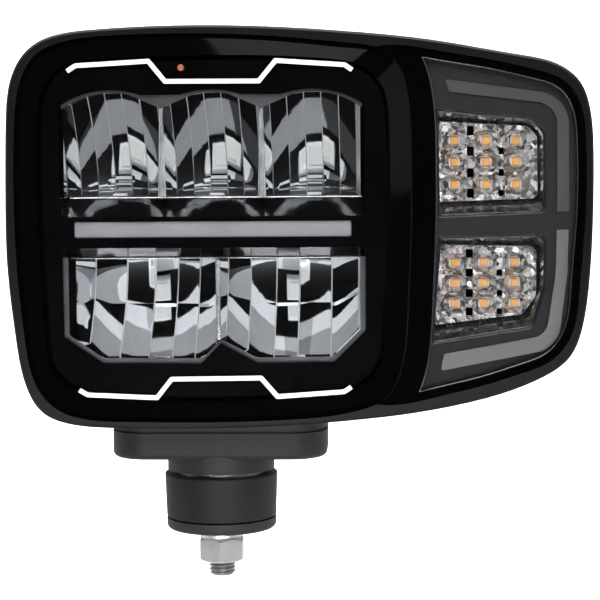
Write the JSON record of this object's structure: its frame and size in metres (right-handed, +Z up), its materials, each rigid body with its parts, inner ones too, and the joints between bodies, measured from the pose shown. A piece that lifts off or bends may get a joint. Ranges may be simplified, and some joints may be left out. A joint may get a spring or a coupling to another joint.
{
  "type": "headlight assembly",
  "caption": "LED combination headlight: bowed reflector windows under a black-edged lens, indicator wing at one side, swivelling stud foot below.",
  "frame": {"origin": "centre of the base cap's underside, the mounting seat, on the axis of the stud", "axes": "+X to the viewer's right along the light's width, -Y out of the front of the lens, +Z up, against the stud"},
  "size_m": [0.2482, 0.0914, 0.2429],
  "materials": {
    "base_cap": "satin black powder coat",
    "stud_bolt": "zinc plated",
    "friction_washer": "matte",
    "spring_washer": "zinc plated",
    "hex_nut": "zinc plated",
    "swivel_collar": "fine leathery grain",
    "ball_post": "machined",
    "foot_block": "satin black powder coat",
    "foot_screws": "blackened",
    "foot_plate": "satin black powder coat",
    "foot_gasket": "matte",
    "socket_ring": "machined",
    "socket_ring_screws": "plain",
    "rear_housing": "satin black powder coat, die cast",
    "cooling_fins": "black anodised",
    "cooling_fin_screws": "plain",
    "vent_plug": "matte",
    "connector_socket": "matte",
    "connector_pins": "plated",
    "connector_screws": "plain",
    "front_frame": "satin black",
    "main_lens": "clear polycarbonate",
    "main_lens_border": "gloss black second shot",
    "main_lens_seal": "matte",
    "wing_lens": "clear polycarbonate",
    "wing_lens_border": "gloss black second shot",
    "wing_lens_seal": "matte",
    "top_stripe": "white inlay",
    "bottom_stripe": "white inlay",
    "status_lens": "orange light pipe",
    "inner_mask": "charcoal gloss",
    "mask_studs": "plain",
    "light_bar": "milky diffuser",
    "light_bar_board": "white solder mask",
    "light_bar_leds": "LED phosphor",
    "upper_reflector": "vacuum metallised",
    "lower_reflector": "vacuum metallised",
    "upper_led_board": "white solder mask",
    "lower_led_board": "white solder mask",
    "upper_leds": "LED phosphor",
    "lower_leds": "LED phosphor",
    "led_heat_sink": "plain",
    "driver_board": "green solder mask",
    "driver_parts": "electronic parts",
    "wing_bezel": "charcoal, fine texture",
    "upper_light_guide": "milky light guide",
    "lower_light_guide": "milky light guide",
    "upper_indicator_recess": "charcoal gloss",
    "lower_indicator_recess": "charcoal gloss",
    "upper_indicator_optic": "clear faceted",
    "lower_indicator_optic": "clear faceted",
    "upper_indicator_board": "white solder mask",
    "lower_indicator_board": "white solder mask",
    "upper_indicator_leds": "amber LED",
    "lower_indicator_leds": "amber LED",
    "position_led_board": "black solder mask",
    "position_leds": "white LED"
  },
  "bodies": {
    "base": {"base_cap": "base_cap", "stud_bolt": "stud_bolt", "friction_washer": "friction_washer"},
    "washer": {"spring_washer": "spring_washer"},
    "nut": {"hex_nut": "hex_nut"},
    "swivel": {"swivel_collar": "swivel_collar", "ball_post": "ball_post"},
    "head": {"foot_block": "foot_block", "foot_screws": "foot_screws", "foot_plate": "foot_plate", "foot_gasket": "foot_gasket", "socket_ring": "socket_ring", "socket_ring_screws": "socket_ring_screws", "rear_housing": "rear_housing", "cooling_fins": "cooling_fins", "cooling_fin_screws": "cooling_fin_screws", "vent_plug": "vent_plug", "connector_socket": "connector_socket", "connector_pins": "connector_pins", "connector_screws": "connector_screws", "front_frame": "front_frame", "main_lens": "main_lens", "main_lens_border": "main_lens_border", "main_lens_seal": "main_lens_seal", "wing_lens": "wing_lens", "wing_lens_border": "wing_lens_border", "wing_lens_seal": "wing_lens_seal", "top_stripe": "top_stripe", "bottom_stripe": "bottom_stripe", "status_lens": "status_lens", "inner_mask": "inner_mask", "mask_studs": "mask_studs", "light_bar": "light_bar", "light_bar_board": "light_bar_board", "light_bar_leds": "light_bar_leds", "upper_reflector": "upper_reflector", "lower_reflector": "lower_reflector", "upper_led_board": "upper_led_board", "lower_led_board": "lower_led_board", "upper_leds": "upper_leds", "lower_leds": "lower_leds", "led_heat_sink": "led_heat_sink", "driver_board": "driver_board", "driver_parts": "driver_parts", "wing_bezel": "wing_bezel", "upper_light_guide": "upper_light_guide", "lower_light_guide": "lower_light_guide", "upper_indicator_recess": "upper_indicator_recess", "lower_indicator_recess": "lower_indicator_recess", "upper_indicator_optic": "upper_indicator_optic", "lower_indicator_optic": "lower_indicator_optic", "upper_indicator_board": "upper_indicator_board", "lower_indicator_board": "lower_indicator_board", "upper_indicator_leds": "upper_indicator_leds", "lower_indicator_leds": "lower_indicator_leds", "position_led_board": "position_led_board", "position_leds": "position_leds"}
  },
  "joints": [
    {"name": "pan", "type": "hinge", "parent": "base", "child": "swivel", "pos_m": [0, 0, 0.0056], "axis": [0, 0, 1], "continuous": true},
    {"name": "tilt", "type": "hinge", "parent": "swivel", "child": "head", "pos_m": [0, 0, 0.026], "axis": [1, 0, 0], "range_deg": [-4, 4]},
    {"name": "washer_slide", "type": "slide", "parent": "base", "child": "washer", "axis": [0, 0, -1], "range_m": [0, 0.01401]},
    {"name": "nut_turn", "type": "hinge", "parent": "washer", "child": "nut", "pos_m": [0, 0, -0.01], "axis": [0, 0, -1], "range_deg": [0, 2880]}
  ],
  "couplings": [
    {"joint": "washer_slide", "follows": "nut_turn", "m_per_rad": 0.00027852}
  ]
}
